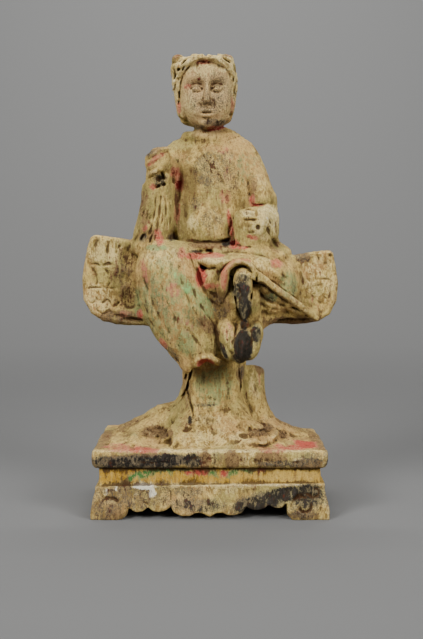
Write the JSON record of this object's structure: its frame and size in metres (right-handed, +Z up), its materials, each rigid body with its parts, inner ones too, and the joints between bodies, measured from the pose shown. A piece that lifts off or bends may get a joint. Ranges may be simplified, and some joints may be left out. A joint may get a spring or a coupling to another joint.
{
  "type": "carved wooden deity statue",
  "caption": "Small carved wooden altar figure of a youth seated on a crane with spread wings, on a rock column over a waisted plinth with bracket feet, its paint almost gone",
  "frame": {"origin": "middle of the underside, on the surface it stands on", "axes": "+Z up, the figure faces -Y, +X to the viewer's right"},
  "size_m": [0.1372, 0.0826, 0.2439],
  "materials": {
    "painted_wood": "worn ochre ground and bare wood, rubbed patches of green, red and black, dirt in the cuts, dull"
  },
  "bodies": {
    "root": {"crane_rider_statue": "painted_wood"}
  },
  "joints": []
}
